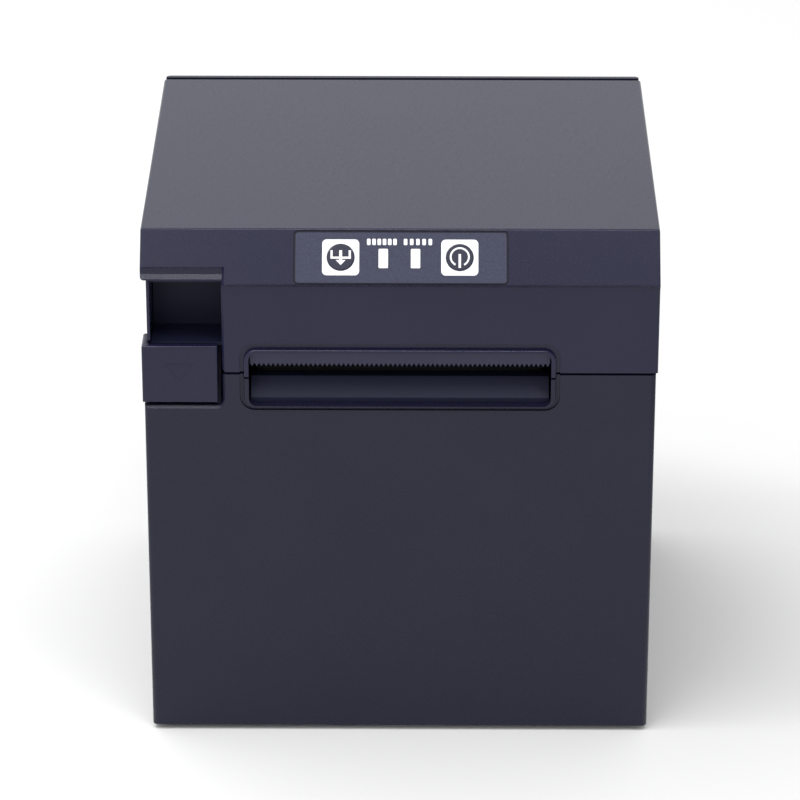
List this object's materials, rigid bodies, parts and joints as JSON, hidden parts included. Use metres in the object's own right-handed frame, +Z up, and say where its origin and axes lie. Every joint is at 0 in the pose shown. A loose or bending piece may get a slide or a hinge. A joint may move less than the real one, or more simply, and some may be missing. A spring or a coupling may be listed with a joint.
{
  "type": "receipt printer",
  "caption": "Compact desktop thermal receipt printer with a hinged lid, front paper exit with serrated tear edge, corner release lever and a sloping key panel.",
  "frame": {"origin": "centre of the footprint, on the surface the feet stand on", "axes": "+Z up, -Y is the front where the paper leaves, +X is the printer's right as seen from the front"},
  "size_m": [0.143, 0.131, 0.152],
  "materials": {
    "case_plastic": "fine moulded grain, satin",
    "lid_plastic": "fine moulded grain, satin",
    "inner_plastic": "moulded, dull",
    "overlay_film": "textured printed film",
    "key_plastic": "satin key cap with a white symbol",
    "lamp_plastic": "frosted light pipe",
    "blade_steel": "ground steel",
    "zinc_sheet": "zinc plated sheet",
    "head_aluminium": "extruded",
    "ceramic": "glazed",
    "roller_rubber": "ground rubber",
    "foot_rubber": "moulded rubber",
    "gear_plastic": "acetal",
    "board_green": "solder mask",
    "component_black": "moulded epoxy",
    "spring_steel": "drawn wire",
    "dark_steel": "black oxide",
    "screw_steel": "black zinc"
  },
  "bodies": {
    "base": {"body_shell": "case_plastic", "base_plate": "case_plastic", "rubber_feet": "foot_rubber", "exit_guide": "inner_plastic", "lever_bracket": "inner_plastic", "paper_bucket": "inner_plastic", "near_end_sensor": "component_black", "roll_support_rods": "zinc_sheet", "mechanism_frame": "zinc_sheet", "mechanism_stand": "inner_plastic", "head_springs": "spring_steel", "head_spring_plate": "zinc_sheet", "idler_post": "blade_steel", "feed_motor": "zinc_sheet", "blade_guides": "inner_plastic", "cutter_motor": "zinc_sheet", "main_board": "board_green", "power_capacitors": "component_black", "circuit_chips": "component_black", "power_socket": "component_black", "usb_socket": "zinc_sheet", "network_socket": "zinc_sheet", "drawer_socket": "component_black", "base_screws": "screw_steel", "board_screws": "screw_steel", "paper_out_sensor": "component_black", "lid_switch": "component_black"},
    "lid": {"lid_shell": "lid_plastic", "panel_overlay": "overlay_film", "left_light_pipe": "lamp_plastic", "right_light_pipe": "lamp_plastic", "panel_board": "board_green", "tact_switches": "component_black", "status_lamps": "lamp_plastic", "tear_bar": "dark_steel", "finger_recess_liner": "inner_plastic", "fixed_blade": "blade_steel", "lid_inner_frame": "inner_plastic", "hinge_pins": "blade_steel", "platen_bushings": "gear_plastic"},
    "platen": {"platen_roller": "roller_rubber", "platen_shaft": "blade_steel", "platen_gear": "gear_plastic"},
    "idler": {"idler_gear": "gear_plastic"},
    "pinion": {"motor_pinion": "gear_plastic"},
    "feed_button": {"feed_key": "key_plastic"},
    "power_button": {"power_key": "key_plastic"},
    "lever": {"release_lever": "lid_plastic", "lever_pin": "screw_steel"},
    "latch": {"latch_bar": "dark_steel"},
    "head": {"print_head_plate": "head_aluminium", "print_head_ceramic": "ceramic"},
    "cutter_blade": {"movable_blade": "blade_steel"},
    "cutter_drive": {"cutter_pinion": "gear_plastic"}
  },
  "joints": [
    {"name": "lid_hinge", "type": "hinge", "parent": "base", "child": "lid", "pos_m": [0, 0.0541, 0.1477], "axis": [-1, 0, 0], "range_deg": [0, 80]},
    {"name": "lever_tilt", "type": "hinge", "parent": "base", "child": "lever", "pos_m": [-0.061, -0.061, 0.1049], "axis": [1, 0, 0], "range_deg": [0, 10], "stiffness_Nm_per_rad": 0.05, "springref_deg": -11.46},
    {"name": "latch_tilt", "type": "hinge", "parent": "base", "child": "latch", "pos_m": [0, -0.0575, 0.094], "axis": [1, 0, 0], "range_deg": [0, 8]},
    {"name": "platen_spin", "type": "hinge", "parent": "lid", "child": "platen", "pos_m": [0, -0.04, 0.1132], "axis": [1, 0, 0], "continuous": true},
    {"name": "idler_spin", "type": "hinge", "parent": "base", "child": "idler", "pos_m": [0.053, -0.03475, 0.09914], "axis": [1, 0, 0], "continuous": true},
    {"name": "pinion_spin", "type": "hinge", "parent": "base", "child": "pinion", "pos_m": [0.053, -0.0369, 0.0873], "axis": [1, 0, 0], "continuous": true},
    {"name": "feed_press", "type": "slide", "parent": "lid", "child": "feed_button", "axis": [0, 0.7955, -0.606], "range_m": [0, 0.0004], "stiffness_N_per_m": 400, "springref_m": -0.002},
    {"name": "power_press", "type": "slide", "parent": "lid", "child": "power_button", "axis": [0, 0.7955, -0.606], "range_m": [0, 0.0004], "stiffness_N_per_m": 400, "springref_m": -0.002},
    {"name": "head_tilt", "type": "hinge", "parent": "base", "child": "head", "pos_m": [0, -0.0305, 0.1041], "axis": [1, 0, 0], "range_deg": [0, 1], "stiffness_Nm_per_rad": 0.5, "springref_deg": -11.46},
    {"name": "blade_slide", "type": "slide", "parent": "base", "child": "cutter_blade", "axis": [0, 0, 1], "range_m": [0, 0.007]},
    {"name": "cutter_spin", "type": "hinge", "parent": "base", "child": "cutter_drive", "pos_m": [-0.023, -0.0503, 0.086], "axis": [0, 1, 0], "range_deg": [0, 80]}
  ],
  "couplings": [
    {"joint": "latch_tilt", "follows": "lever_tilt", "ratio": 0.8},
    {"joint": "idler_spin", "follows": "platen_spin", "ratio": -0.66667},
    {"joint": "pinion_spin", "follows": "platen_spin", "ratio": 2},
    {"joint": "cutter_spin", "follows": "blade_slide", "rad_per_m": 188.68}
  ]
}
